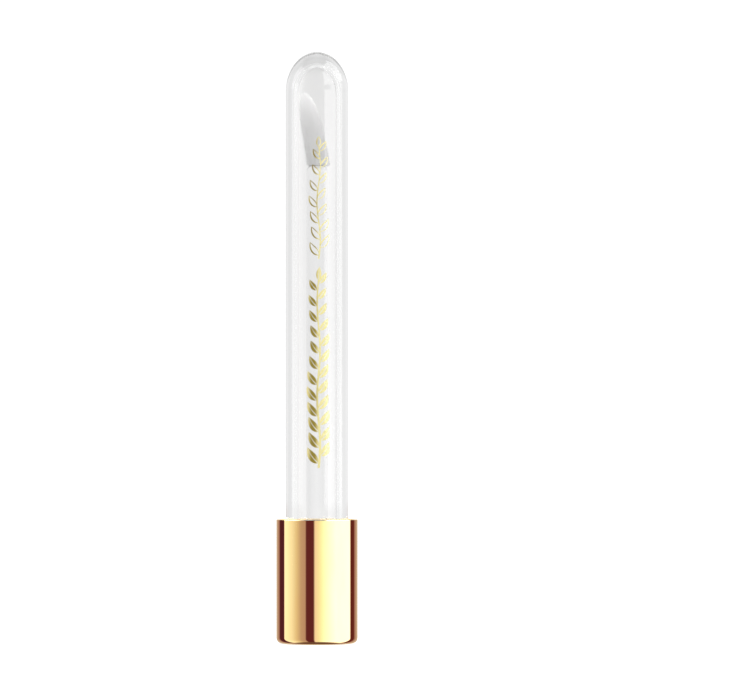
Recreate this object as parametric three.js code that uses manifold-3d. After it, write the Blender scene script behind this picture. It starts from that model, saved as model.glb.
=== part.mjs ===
// A lip gloss pack: a clear round-ended tube that screws into a gold cap, which it stands on.
// The cap carries the wand. Millimetres, +Z up, origin at the centre of the cap's foot.

import * as THREE from 'three';
import { mergeVertices } from 'three/addons/utils/BufferGeometryUtils.js';
import Module from 'manifold-3d';

const wasm = await Module();
wasm.setup();

// Driving dimensions
const OVERALL_HEIGHT = 123.5;
const CAP_RADIUS = 8.5;
const CAP_HEIGHT = 26;
const TUBE_RADIUS = 6.55;
const DOME_HEIGHT = 8.4;
const ROD_RADIUS = 2.18;
const ROD_TOP = 99.7;
const TIP_LENGTH = 15.2;

// Facets round the axis. Both are multiples of four, so every piece reaches its full width along X and Y.
const WIDE_FACETS = 48;
const SLIM_FACETS = 32;
const AXIS_HAIR = 1e-9;
const WELD_DISTANCE = 1e-4;

// Free space between pieces that stand on each other, so that no two faces touch
const STACK_GAP = 0.1;

// Cap shell
const SHELL_WALL = 0.5;
const SHELL_FLOOR = 0.8;
const FOOT_ROUND = 0.75;
const SHELL_LIP = 0.15;

// Inner cap, pressed into the shell
const PRESS_GAP = 0.08;
const INNER_CAP_BASE = SHELL_FLOOR + STACK_GAP;
const INNER_CAP_FLOOR = INNER_CAP_BASE + 1.2;
const RIM_RECESS = 0.3;
const INNER_CAP_TOP = CAP_HEIGHT - RIM_RECESS;
const INNER_CAP_WALL_RADIUS = 7.4;
const INNER_CAP_BORE = 6.35;
const MOUTH_CLEARANCE = 0.25;
const MOUTH_RADIUS = TUBE_RADIUS + MOUTH_CLEARANCE;
const MOUTH_CHAMFER = 0.3;
const RIM_RADIUS = CAP_RADIUS - SHELL_WALL - PRESS_GAP;
const RIM_THICKNESS = 0.9;
const RIB_COUNT = 12;
const RIB_WIDTH = 0.7;
const RIB_BITE = 0.3;
const RIB_RELIEF = 0.04;
const RIB_FOOT = 1.7;
const RIB_HEAD_GAP = 0.2;

// Rod root: a stub in the inner cap's socket, a snap bead and a collar
const SOCKET_HEIGHT = 2.9;
const SOCKET_TOP = INNER_CAP_FLOOR + SOCKET_HEIGHT;
const SOCKET_OUTER = 3.4;
const STUB_RADIUS = 2.35;
const STUB_GAP = 0.1;
const BEAD_HEIGHT = 0.25;
const BEAD_Z = 3.5;
const COLLAR_RADIUS = 4.6;
const COLLAR_THICKNESS = 0.8;
const COLLAR_BASE = SOCKET_TOP + STACK_GAP;
const COLLAR_TOP = COLLAR_BASE + COLLAR_THICKNESS;

// Gasket, wiper flange and neck stack up on the collar
const GASKET_THICKNESS = 0.7;
const GASKET_BASE = COLLAR_TOP + STACK_GAP;
const GASKET_TOP = GASKET_BASE + GASKET_THICKNESS;
const FLANGE_THICKNESS = 0.8;
const FLANGE_BASE = GASKET_TOP + STACK_GAP;
const FLANGE_TOP = FLANGE_BASE + FLANGE_THICKNESS;
const NECK_RIM = FLANGE_TOP + STACK_GAP;
const NECK_RADIUS = 5.4;
const NECK_BORE = 4.25;
const NECK_BORE_TOP = 19.9;
const SHOULDER = 22.5;

// Tube cavity
const CAVITY_RADIUS = 4;
const CAVITY_TOP = 120.3;
const CAVITY_DOME_HEIGHT = 6;

// Wiper
const WIPER_TUBE_OUTER = 4.15;
const WIPER_TUBE_INNER = 3.6;
const WIPER_CONE_BASE = 17;
const WIPER_TOP = 19.2;
const LIP_RADIUS = 2.28;

// Gloss: it starts one thread rise above the wiper and leaves room for the rod and the tip
const GLOSS_BASE = 23.4;
const GLOSS_GAP = 0.05;
const CHANNEL_RADIUS = 2.3;
const CHAMBER_RADIUS = 3.7;
const CHAMBER_BASE = 97.4;
const CHAMBER_TOP = 116.4;
const CHAMBER_CONE = 1;
const CHAMBER_DOME = 2;

// Right-hand screw thread: the neck's ridge runs between the turns of the inner cap's ridge
const PITCH = 2.5;
const THREAD_BASE = 13.2;
const THREAD_TURNS = 1.5;
const NECK_CREST = 6.1;
const CAP_CREST = 5.62;
const RIDGE_ROOT_WIDTH = 1.55;
const RIDGE_CREST_WIDTH = 0.85;
const RIDGE_RUNOUT_TURNS = 0.12;
const RIDGE_BITE = 0.25;
const RIDGE_START_HEIGHT = 0.05;

// Doe-foot tip: offset, lean and bend of its centre line, and how sharply its outline closes at the end
const TIP_BASE = ROD_TOP + STACK_GAP;
const TIP_HALF_WIDTH = 2.3;
const TIP_OFFSET = 0.29;
const TIP_LEAN = 0.13;
const TIP_BEND = 0.0035;
const WIDTH_TAPER = 4;
const DEPTH_TAPER = 6;
const SKIN_TAPER = 8;
const TIP_LEVELS = 12;
const TIP_END_FLAT = 0.1;
const TIP_END_MARGIN = 0.02;
const FLOCK_THICKNESS = 0.45;
const FLOCK_GAP = 0.05;

// Peg under the tip's core, and its hole in the rod's end
const PEG_RADIUS = 0.8;
const PEG_LENGTH = 0.7;
const PEG_BITE = 1;
const PEG_HOLE_RADIUS = 0.9;
const PEG_HOLE_DEPTH = PEG_LENGTH + STACK_GAP;
const ROD_SHOULDER = 1.1;

const point = (radius, z) => new THREE.Vector2(radius, z);

// Points on an ellipse about (centreRadius, centreZ), from one angle above level to another, in degrees.
function arc(centreRadius, centreZ, radialSize, axialSize, from, to, steps) {
  const points = [];
  for (let i = 0; i <= steps; i += 1) {
    const angle = THREE.MathUtils.degToRad(from + ((to - from) * i) / steps);
    const radius = centreRadius + radialSize * Math.cos(angle);
    points.push(point(Math.max(radius, 0), centreZ + axialSize * Math.sin(angle)));
  }
  return points;
}

// An outline whose points within a hair of the axis lie exactly on it.
const onAxis = (outline) => outline.map((p) => (p.x < AXIS_HAIR ? point(0, p.y) : p));

// A closed outline turned about +Z. The outline runs anticlockwise, seen with radius to the right and Z up.
function turned(outline, facets) {
  const endsOnAxis = outline[0].x === 0 && outline[outline.length - 1].x === 0;
  const closed = endsOnAxis ? outline : [...outline, outline[0]];
  return new THREE.LatheGeometry(closed, facets).rotateX(Math.PI / 2);
}

function solidOf(geometry) {
  const bare = geometry.clone();
  bare.deleteAttribute('normal');
  bare.deleteAttribute('uv');
  const merged = mergeVertices(bare, WELD_DISTANCE);
  return new wasm.Manifold(new wasm.Mesh({
    numProp: 3,
    vertProperties: new Float32Array(merged.getAttribute('position').array),
    triVerts: new Uint32Array(merged.getIndex().array),
  }));
}

function geometryOf(solid) {
  const { numProp, vertProperties, triVerts } = solid.getMesh();
  const positions = new Float32Array((vertProperties.length / numProp) * 3);
  for (let i = 0; i < positions.length / 3; i += 1) {
    positions.set(vertProperties.subarray(i * numProp, i * numProp + 3), i * 3);
  }
  const geometry = new THREE.BufferGeometry();
  geometry.setAttribute('position', new THREE.BufferAttribute(positions, 3));
  geometry.setIndex(new THREE.BufferAttribute(new Uint32Array(triVerts), 1));
  geometry.computeVertexNormals();
  return geometry;
}

// Skins a stack of equal rings of points, each a closed loop, and closes both ends with a fan.
function skinned(rings) {
  const size = rings[0].length;
  const positions = [];
  const indices = [];
  rings.forEach((ring) => ring.forEach((p) => positions.push(p.x, p.y, p.z)));
  for (let i = 0; i + 1 < rings.length; i += 1) {
    for (let j = 0; j < size; j += 1) {
      const a = i * size + j;
      const b = i * size + ((j + 1) % size);
      indices.push(a, b, b + size, a, b + size, a + size);
    }
  }
  const addCap = (ring, first, flipped) => {
    const centre = ring.reduce((sum, p) => sum.add(p), new THREE.Vector3()).divideScalar(size);
    const hub = positions.length / 3;
    positions.push(centre.x, centre.y, centre.z);
    for (let j = 0; j < size; j += 1) {
      const next = (j + 1) % size;
      indices.push(hub, first + (flipped ? next : j), first + (flipped ? j : next));
    }
  };
  addCap(rings[0], 0, true);
  addCap(rings[rings.length - 1], (rings.length - 1) * size, false);
  const geometry = new THREE.BufferGeometry();
  geometry.setAttribute('position', new THREE.Float32BufferAttribute(positions, 3));
  geometry.setIndex(indices);
  geometry.computeVertexNormals();
  return geometry;
}

// A thread ridge from `firstTurn` to `lastTurn`, standing on a wall and fading out at both ends.
function threadRidge(wallRadius, crestRadius, baseZ, firstTurn, lastTurn) {
  const outward = Math.sign(crestRadius - wallRadius);
  const root = wallRadius - outward * RIDGE_BITE;
  const steps = Math.round((lastTurn - firstTurn) * SLIM_FACETS);
  const rings = [];
  for (let i = 0; i <= steps; i += 1) {
    const turn = firstTurn + (i * (lastTurn - firstTurn)) / steps;
    const fade = Math.min(turn - firstTurn, lastTurn - turn) / RIDGE_RUNOUT_TURNS;
    const height = Math.max(RIDGE_START_HEIGHT, Math.min(1, fade));
    const crest = wallRadius + height * (crestRadius - wallRadius);
    const angle = 2 * Math.PI * turn;
    const middle = baseZ + PITCH * turn;
    const at = (radius, offset) => new THREE.Vector3(
      radius * Math.cos(angle),
      radius * Math.sin(angle),
      middle + offset,
    );
    const ring = [
      at(root, -RIDGE_ROOT_WIDTH / 2),
      at(crest, -RIDGE_CREST_WIDTH / 2),
      at(crest, RIDGE_CREST_WIDTH / 2),
      at(root, RIDGE_ROOT_WIDTH / 2),
    ];
    rings.push(outward > 0 ? ring.reverse() : ring);
  }
  return skinned(rings);
}

// The doe foot leans to -X as it rises, keeps its width to about half its length, then closes to a round end.
const tipCentre = (height) => TIP_OFFSET - TIP_LEAN * height - TIP_BEND * height * height;
const tipTaper = (height, power) => Math.sqrt(Math.max(0, 1 - (height / TIP_LENGTH) ** power));

// The tip's outside, or a form that lies `inset` within it, from the height `lowest` to its end.
function tipForm(inset, lowest, facets) {
  const rings = [];
  const highest = TIP_LENGTH - inset;
  for (let i = 0; i <= TIP_LEVELS; i += 1) {
    const share = Math.sin((Math.PI / 2) * (i / TIP_LEVELS));
    const height = lowest + (highest - TIP_END_MARGIN - lowest) * share;
    const stretched = (height * TIP_LENGTH) / highest;
    const skin = inset * tipTaper(stretched, SKIN_TAPER);
    const halfWidth = TIP_HALF_WIDTH * tipTaper(stretched, WIDTH_TAPER) - skin;
    const halfDepth = TIP_HALF_WIDTH * tipTaper(stretched, DEPTH_TAPER) - skin;
    const ring = [];
    for (let j = 0; j < facets; j += 1) {
      const angle = (2 * Math.PI * j) / facets;
      ring.push(new THREE.Vector3(
        tipCentre(Math.max(height, 0)) + Math.max(halfWidth, TIP_END_FLAT) * Math.cos(angle),
        Math.max(halfDepth, TIP_END_FLAT) * Math.sin(angle),
        TIP_BASE + height,
      ));
    }
    rings.push(ring);
  }
  return skinned(rings);
}

function capShell() {
  const inner = CAP_RADIUS - SHELL_WALL;
  return turned([
    point(0, 0),
    ...arc(CAP_RADIUS - FOOT_ROUND, FOOT_ROUND, FOOT_ROUND, FOOT_ROUND, -90, 0, 3),
    point(CAP_RADIUS, CAP_HEIGHT - SHELL_LIP),
    point(CAP_RADIUS - SHELL_LIP, CAP_HEIGHT),
    point(inner, CAP_HEIGHT),
    point(inner, SHELL_FLOOR),
    point(0, SHELL_FLOOR),
  ], WIDE_FACETS);
}

function innerCap() {
  const body = turned([
    point(0, INNER_CAP_BASE),
    point(INNER_CAP_WALL_RADIUS, INNER_CAP_BASE),
    point(INNER_CAP_WALL_RADIUS, INNER_CAP_TOP - RIM_THICKNESS),
    point(RIM_RADIUS, INNER_CAP_TOP - RIM_THICKNESS),
    point(RIM_RADIUS, INNER_CAP_TOP),
    point(MOUTH_RADIUS, INNER_CAP_TOP),
    point(MOUTH_RADIUS, SHOULDER - MOUTH_CHAMFER),
    point(INNER_CAP_BORE, SHOULDER - 2 * MOUTH_CHAMFER),
    point(INNER_CAP_BORE, INNER_CAP_FLOOR),
    point(SOCKET_OUTER, INNER_CAP_FLOOR),
    point(SOCKET_OUTER, SOCKET_TOP),
    point(STUB_RADIUS + STUB_GAP, SOCKET_TOP),
    point(STUB_RADIUS + STUB_GAP, BEAD_Z + BEAD_HEIGHT + STUB_GAP),
    point(STUB_RADIUS + BEAD_HEIGHT + STUB_GAP, BEAD_Z),
    point(STUB_RADIUS + STUB_GAP, BEAD_Z - BEAD_HEIGHT - STUB_GAP),
    point(STUB_RADIUS + STUB_GAP, INNER_CAP_FLOOR),
    point(0, INNER_CAP_FLOOR),
  ], WIDE_FACETS);
  let solid = solidOf(body);
  const ridge = threadRidge(INNER_CAP_BORE, CAP_CREST, THREAD_BASE + PITCH / 2, -0.5, THREAD_TURNS - 0.5);
  solid = solid.add(solidOf(ridge));
  const ribReach = RIM_RADIUS - INNER_CAP_WALL_RADIUS + RIB_BITE;
  const ribFoot = INNER_CAP_BASE + RIB_FOOT;
  const ribLength = INNER_CAP_TOP - RIM_THICKNESS + RIB_HEAD_GAP - ribFoot;
  for (let i = 0; i < RIB_COUNT; i += 1) {
    const rib = new THREE.BoxGeometry(ribReach, RIB_WIDTH, ribLength)
      .translate(RIM_RADIUS - RIB_RELIEF - ribReach / 2, 0, ribFoot + ribLength / 2)
      .rotateZ((2 * Math.PI * (i + 0.5)) / RIB_COUNT);
    solid = solid.add(solidOf(rib));
  }
  return geometryOf(solid);
}

function rod() {
  const foot = INNER_CAP_FLOOR + STACK_GAP;
  return turned([
    point(0, foot),
    point(STUB_RADIUS, foot),
    point(STUB_RADIUS, BEAD_Z - BEAD_HEIGHT),
    point(STUB_RADIUS + BEAD_HEIGHT, BEAD_Z),
    point(STUB_RADIUS, BEAD_Z + BEAD_HEIGHT),
    point(STUB_RADIUS, COLLAR_BASE),
    point(COLLAR_RADIUS, COLLAR_BASE),
    point(COLLAR_RADIUS, COLLAR_TOP),
    point(ROD_RADIUS, COLLAR_TOP),
    ...arc(ROD_RADIUS - ROD_SHOULDER, ROD_TOP - ROD_SHOULDER, ROD_SHOULDER, ROD_SHOULDER, 0, 90, 4),
    point(PEG_HOLE_RADIUS, ROD_TOP),
    point(PEG_HOLE_RADIUS, ROD_TOP - PEG_HOLE_DEPTH),
    point(0, ROD_TOP - PEG_HOLE_DEPTH),
  ], SLIM_FACETS);
}

function tipCore() {
  const peg = turned([
    point(0, TIP_BASE - PEG_LENGTH),
    point(PEG_RADIUS, TIP_BASE - PEG_LENGTH),
    point(PEG_RADIUS, TIP_BASE + PEG_BITE),
    point(0, TIP_BASE + PEG_BITE),
  ], SLIM_FACETS);
  const foot = tipForm(FLOCK_THICKNESS, 0, SLIM_FACETS);
  return geometryOf(solidOf(foot).add(solidOf(peg)));
}

function tipFlock() {
  const cutDepth = 0.5;
  const outside = tipForm(0, 0, SLIM_FACETS);
  const inside = tipForm(FLOCK_THICKNESS - FLOCK_GAP, -cutDepth, SLIM_FACETS);
  return geometryOf(solidOf(outside).subtract(solidOf(inside)));
}

function capLiner() {
  const boreClearance = 0.15;
  const rimSetback = 0.3;
  const bore = ROD_RADIUS + boreClearance;
  const rim = NECK_RADIUS - rimSetback;
  return turned([
    point(bore, GASKET_BASE),
    point(rim, GASKET_BASE),
    point(rim, GASKET_TOP),
    point(bore, GASKET_TOP),
  ], SLIM_FACETS);
}

function bottle() {
  const cutDepth = 1;
  const bevel = 0.2;
  const round = 0.4;
  const beadHeight = 1;
  const beadRadius = NECK_RADIUS + beadHeight / 2;
  const beadBase = SHOULDER - 2.1;
  const beadTop = beadBase + beadHeight;
  const outside = onAxis([
    point(0, NECK_RIM),
    point(NECK_RADIUS - bevel, NECK_RIM),
    point(NECK_RADIUS, NECK_RIM + bevel),
    point(NECK_RADIUS, beadBase - bevel),
    point(beadRadius, beadBase + bevel),
    point(beadRadius, beadTop - bevel),
    point(NECK_RADIUS, beadTop),
    point(NECK_RADIUS, SHOULDER),
    ...arc(TUBE_RADIUS - round, SHOULDER + round, round, round, -90, 0, 2),
    ...arc(0, OVERALL_HEIGHT - DOME_HEIGHT, TUBE_RADIUS, DOME_HEIGHT, 0, 90, 10),
  ]);
  const inside = onAxis([
    point(0, NECK_RIM - cutDepth),
    point(NECK_BORE, NECK_RIM - cutDepth),
    point(NECK_BORE, NECK_BORE_TOP),
    point(CAVITY_RADIUS, NECK_BORE_TOP + bevel),
    ...arc(0, CAVITY_TOP - CAVITY_DOME_HEIGHT, CAVITY_RADIUS, CAVITY_DOME_HEIGHT, 0, 90, 8),
  ]);
  const body = solidOf(turned(outside, WIDE_FACETS)).subtract(solidOf(turned(inside, WIDE_FACETS)));
  const ridge = threadRidge(NECK_RADIUS, NECK_CREST, THREAD_BASE, 0, THREAD_TURNS);
  return geometryOf(body.add(solidOf(ridge)));
}

function wiper() {
  const flangeSetback = 0.2;
  const flangeRadius = NECK_RADIUS - flangeSetback;
  const wall = 0.55;
  const lipHeight = 0.9;
  const lipEdge = 0.15;
  const coneShift = 0.4;
  return turned([
    point(WIPER_TUBE_INNER, FLANGE_BASE),
    point(flangeRadius, FLANGE_BASE),
    point(flangeRadius, FLANGE_TOP),
    point(WIPER_TUBE_OUTER, FLANGE_TOP),
    point(WIPER_TUBE_OUTER, WIPER_CONE_BASE),
    point(LIP_RADIUS + wall, WIPER_TOP - coneShift),
    point(LIP_RADIUS + lipEdge, WIPER_TOP),
    point(LIP_RADIUS, WIPER_TOP),
    point(LIP_RADIUS, WIPER_TOP - lipHeight),
    point(WIPER_TUBE_INNER, WIPER_CONE_BASE - coneShift),
  ], SLIM_FACETS);
}

function glossFill() {
  const cutDepth = 1;
  const outer = CAVITY_RADIUS - GLOSS_GAP;
  const domeHeight = CAVITY_DOME_HEIGHT - GLOSS_GAP;
  const outside = turned(onAxis([
    point(0, GLOSS_BASE),
    point(outer, GLOSS_BASE),
    ...arc(0, CAVITY_TOP - CAVITY_DOME_HEIGHT, outer, domeHeight, 0, 90, 8),
  ]), WIDE_FACETS);
  const inside = turned(onAxis([
    point(0, GLOSS_BASE - cutDepth),
    point(CHANNEL_RADIUS, GLOSS_BASE - cutDepth),
    point(CHANNEL_RADIUS, CHAMBER_BASE - CHAMBER_CONE),
    point(CHAMBER_RADIUS, CHAMBER_BASE),
    ...arc(0, CHAMBER_TOP - CHAMBER_DOME, CHAMBER_RADIUS, CHAMBER_DOME, 0, 90, 4),
  ]), WIDE_FACETS);
  return geometryOf(solidOf(outside).subtract(solidOf(inside)));
}

const gold = new THREE.MeshStandardMaterial({ color: 0xdcb070, metalness: 1, roughness: 0.15 });
const whitePlastic = new THREE.MeshStandardMaterial({ color: 0xf1efe9, metalness: 0, roughness: 0.45 });
const clearPlastic = new THREE.MeshStandardMaterial({ color: 0xe9eaea, metalness: 0, roughness: 0.08 });
const softPlastic = new THREE.MeshStandardMaterial({ color: 0xdedddb, metalness: 0, roughness: 0.6 });
const flock = new THREE.MeshStandardMaterial({ color: 0xe2e1df, metalness: 0, roughness: 0.95 });
const gasketFoam = new THREE.MeshStandardMaterial({ color: 0xf4f4f2, metalness: 0, roughness: 0.8 });
const clearGloss = new THREE.MeshStandardMaterial({ color: 0xf3f1ee, metalness: 0, roughness: 0.05 });

const pieces = [
  ['cap_shell', capShell(), gold],
  ['inner_cap', innerCap(), whitePlastic],
  ['rod', rod(), clearPlastic],
  ['tip_core', tipCore(), softPlastic],
  ['tip_flock', tipFlock(), flock],
  ['cap_liner', capLiner(), gasketFoam],
  ['gloss_fill', glossFill(), clearGloss],
  ['bottle', bottle(), clearPlastic],
  ['wiper', wiper(), softPlastic],
];

const pack = new THREE.Group();
pieces.forEach(([name, geometry, material]) => {
  const mesh = new THREE.Mesh(geometry, material);
  mesh.name = name;
  pack.add(mesh);
});

export default pack;
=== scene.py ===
# The looks of a lip gloss pack: a clear round-ended tube standing on its gold cap, with the wand inside.
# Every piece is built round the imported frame, in metres; outlines are written in millimetres.

import math
import random

import bpy
import bmesh
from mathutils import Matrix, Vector


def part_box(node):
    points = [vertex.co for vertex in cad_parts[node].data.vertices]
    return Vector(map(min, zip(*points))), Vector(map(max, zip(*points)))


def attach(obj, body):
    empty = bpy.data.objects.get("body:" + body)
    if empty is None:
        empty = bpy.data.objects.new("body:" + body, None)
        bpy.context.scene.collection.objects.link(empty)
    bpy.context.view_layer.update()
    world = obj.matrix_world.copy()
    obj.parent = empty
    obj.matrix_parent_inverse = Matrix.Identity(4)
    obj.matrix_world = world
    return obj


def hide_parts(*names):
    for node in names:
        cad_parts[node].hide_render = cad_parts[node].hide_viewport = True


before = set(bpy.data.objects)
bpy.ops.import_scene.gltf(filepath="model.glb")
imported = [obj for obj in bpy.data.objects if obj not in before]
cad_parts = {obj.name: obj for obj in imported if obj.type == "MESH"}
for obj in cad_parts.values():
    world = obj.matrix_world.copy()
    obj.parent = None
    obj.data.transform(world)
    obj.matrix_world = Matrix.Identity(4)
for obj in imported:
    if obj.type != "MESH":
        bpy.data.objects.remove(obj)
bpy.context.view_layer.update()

MM = 0.001
random.seed(7)


def span(node):
    """Lowest and highest Z and the half width of a node, in millimetres."""
    low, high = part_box(node)
    return low[2] / MM, high[2] / MM, (high[0] - low[0]) / 2 / MM


# Sizes that come from the frame
_, CAP_TOP, CAP_RADIUS = span("cap_shell")
NECK_RIM, TUBE_TOP, TUBE_RADIUS = span("bottle")
ROD_FOOT, ROD_TOP, COLLAR_RADIUS = span("rod")
TIP_BASE, TIP_TOP, _ = span("tip_flock")
LINER_FOOT, LINER_TOP, LINER_RADIUS = span("cap_liner")
WIPER_FOOT, WIPER_TOP, WIPER_RADIUS = span("wiper")
INSERT_FOOT, INSERT_TOP, INSERT_RADIUS = span("inner_cap")
GLOSS_FOOT, _, GLOSS_RADIUS = span("gloss_fill")

# Sizes shared by pieces that fit each other. A ridge fades out over the last part of a turn, its runout.
DOME_HEIGHT = 8.4
CAVITY_RADIUS = 4.0
CAVITY_TOP = 120.3
CAVITY_DOME = 6.0
SHOULDER = 22.5
NECK_RADIUS = 5.4
NECK_BORE = 4.25
ROD_RADIUS = 2.18
PITCH = 2.5
THREAD_BASE = 13.2
THREAD_TURNS = 1.5
RIDGE_ROOT_WIDTH = 1.55
RIDGE_CREST_WIDTH = 0.85
RIDGE_RUNOUT = 0.12

# The stretch of wall that holds a thread, and how close its points are
THREAD_WALL_FOOT = 11.4
THREAD_WALL_HEAD = 18.9
THREAD_WALL_EDGE = 0.1
THREAD_STEP = 0.12

# How far the sole of the gold cap lies above its standing ring
FOOT_RECESS = 0.22

# Two radii closer than this are the same
SAME = 1e-6

# The doe foot, in millimetres: its middle at the root, how it leans and bends to -X, and its half width
TIP_ROOT_X = 0.29
TIP_LEAN = 0.13
TIP_BEND = 0.0035
TIP_HALF_WIDTH = 2.3
TIP_FACE_FLATNESS = 0.94
TIP_FACE_SQUARENESS = 0.25

# Straight runs longer than this get a point this far from each end
LONG_RUN = 0.8
RUN_MARGIN = 0.05


# ---------------------------------------------------------------- meshes

def new_object(name, mesh):
    obj = bpy.data.objects.new(name, mesh)
    bpy.context.scene.collection.objects.link(obj)
    return obj


def shade(mesh, sharp_angle=40):
    """Smooth shading, with edges kept where faces meet at more than an angle in degrees."""
    mesh.polygons.foreach_set("use_smooth", [True] * len(mesh.polygons))
    mesh.set_sharp_from_angle(angle=math.radians(sharp_angle))


def rounded(corners, steps=5):
    """A list of (radius, z) points from corners (radius, z, rounding), each corner cut by a curve.
    A straight run gets a point close to each end, so that smooth shading leaves it straight."""
    points = []
    count = len(corners)
    for i, corner in enumerate(corners):
        here = Vector(corner[:2])
        size = corner[2] if len(corner) > 2 else 0
        if size <= 0 or i in (0, count - 1):
            points.append(here)
            continue
        before = Vector(corners[i - 1][:2]) - here
        after = Vector(corners[i + 1][:2]) - here
        start = here + before.normalized() * min(size, before.length * 0.49)
        end = here + after.normalized() * min(size, after.length * 0.49)
        for k in range(steps + 1):
            t = k / steps
            points.append(start * (1 - t) ** 2 + here * 2 * t * (1 - t) + end * t ** 2)
    kept = [points[0]]
    for here, after in zip(points, points[1:]):
        run = after - here
        if run.length > LONG_RUN:
            kept += [here + run.normalized() * RUN_MARGIN, after - run.normalized() * RUN_MARGIN]
        kept.append(after)
    return [(p[0], p[1]) for p in kept]


def ellipse_arc(radial, axial, centre_z, start, end, steps):
    """Points on an ellipse about the axis, from one angle to another, in degrees above level."""
    points = []
    for i in range(steps + 1):
        angle = math.radians(start + (end - start) * i / steps)
        points.append((max(0.0, radial * math.cos(angle)), centre_z + axial * math.sin(angle)))
    return points


def levels(radius, low, high, step):
    """Closely spaced points up a straight wall, for a relief to shape."""
    count = max(2, round(abs(high - low) / step))
    return [(radius, low + (high - low) * i / count) for i in range(count + 1)]


def revolve(name, outline, facets, relief=None):
    """Turns an outline of (radius, z) millimetres about +Z. A radius of nought is a pole, and an outline that
    ends where it starts gives a ring."""
    mesh = bpy.data.meshes.new(name)
    built = bmesh.new()
    rings = []
    for radius, z in outline:
        if radius < SAME:
            rings.append([built.verts.new((0, 0, z * MM))])
            continue
        ring = []
        for k in range(facets):
            angle = 2 * math.pi * k / facets
            r = relief(angle, radius, z) if relief else radius
            ring.append(built.verts.new((r * MM * math.cos(angle), r * MM * math.sin(angle), z * MM)))
        rings.append(ring)
    for lower, upper in zip(rings, rings[1:]):
        for k in range(facets):
            n = (k + 1) % facets
            corners = [lower[k % len(lower)], lower[n % len(lower)],
                       upper[n % len(upper)], upper[k % len(upper)]]
            unique = list(dict.fromkeys(corners))
            if len(unique) > 2:
                built.faces.new(unique)
    bmesh.ops.remove_doubles(built, verts=built.verts, dist=1e-8)
    bmesh.ops.recalc_face_normals(built, faces=built.faces)
    built.to_mesh(mesh)
    built.free()
    shade(mesh)
    return new_object(name, mesh)


def ridge_height(angle, z, base, first_turn, last_turn):
    """How far a thread ridge stands at one place on its wall, from 0 to 1."""
    best = 0.0
    turn_here = angle / (2 * math.pi)
    for whole in range(math.floor(first_turn) - 1, math.ceil(last_turn) + 2):
        turn = turn_here + whole
        if turn < first_turn or turn > last_turn:
            continue
        fade = min(1.0, min(turn - first_turn, last_turn - turn) / RIDGE_RUNOUT)
        away = abs(z - (base + PITCH * turn))
        slope = (RIDGE_ROOT_WIDTH - 2 * away) / (RIDGE_ROOT_WIDTH - RIDGE_CREST_WIDTH)
        best = max(best, max(0.0, min(1.0, slope)) * fade)
    return best


# ---------------------------------------------------------------- materials

def material(name, slot_color):
    """A new material, its node tree and its shader. The colour is for flat previews."""
    mat = bpy.data.materials.new(name)
    mat.use_nodes = True
    mat.diffuse_color = (*slot_color, 1)
    tree = mat.node_tree
    shader = tree.nodes["Principled BSDF"]
    return mat, tree, shader


def node(tree, kind, **values):
    """A shader node. A keyword sets the input of that name, or else the node's own property."""
    made = tree.nodes.new(kind)
    for key, value in values.items():
        socket = made.inputs.get(key.replace("_", " "))
        if socket is not None:
            socket.default_value = value
        else:
            setattr(made, key, value)
    return made


def ramp(tree, stops):
    """A colour ramp from stops of (position, colour)."""
    made = tree.nodes.new("ShaderNodeValToRGB")
    band = made.color_ramp
    while len(band.elements) > 1:
        band.elements.remove(band.elements[-1])
    band.elements[0].position = stops[0][0]
    band.elements[0].color = (*stops[0][1], 1)
    for position, color in stops[1:]:
        band.elements.new(position).color = (*color, 1)
    return made


def noise_between(tree, scale, low, high, stretch=(1, 1, 1), detail=3):
    """A noise in object space that runs from one colour to another, over the middle part of its range."""
    link = tree.links.new
    place = node(tree, "ShaderNodeTexCoord")
    mapping = node(tree, "ShaderNodeMapping")
    mapping.inputs["Scale"].default_value = stretch
    noise = node(tree, "ShaderNodeTexNoise", Scale=scale, Detail=detail)
    band = ramp(tree, [(0.35, low), (0.65, high)])
    link(place.outputs["Object"], mapping.inputs["Vector"])
    link(mapping.outputs["Vector"], noise.inputs["Vector"])
    link(noise.outputs["Fac"], band.inputs["Fac"])
    return noise, band


def bump(tree, shader, height, strength, distance):
    """Raises the surface in its shading by a height, over a distance in metres."""
    made = node(tree, "ShaderNodeBump", Strength=strength, Distance=distance)
    tree.links.new(height, made.inputs["Height"])
    tree.links.new(made.outputs["Normal"], shader.inputs["Normal"])
    return made


def gold_shell_material():
    """Bright anodised gold: nearly a mirror, with a faint drawn grain round the shell and slight haze."""
    mat, tree, shader = material("gold_shell_metal", (0.86, 0.66, 0.38))
    shader.inputs["Metallic"].default_value = 1
    _, tint = noise_between(tree, 260, (1.0, 0.76, 0.40), (1.0, 0.80, 0.44), (1, 1, 0.3))
    tree.links.new(tint.outputs["Color"], shader.inputs["Base Color"])
    _, haze = noise_between(tree, 420, (0.006,) * 3, (0.014,) * 3, (1, 1, 4))
    tree.links.new(haze.outputs["Color"], shader.inputs["Roughness"])
    grain, _ = noise_between(tree, 900, (0, 0, 0), (1, 1, 1), (0.15, 0.15, 6))
    bump(tree, shader, grain.outputs["Fac"], 0.004, 0.00002)
    return mat


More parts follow.
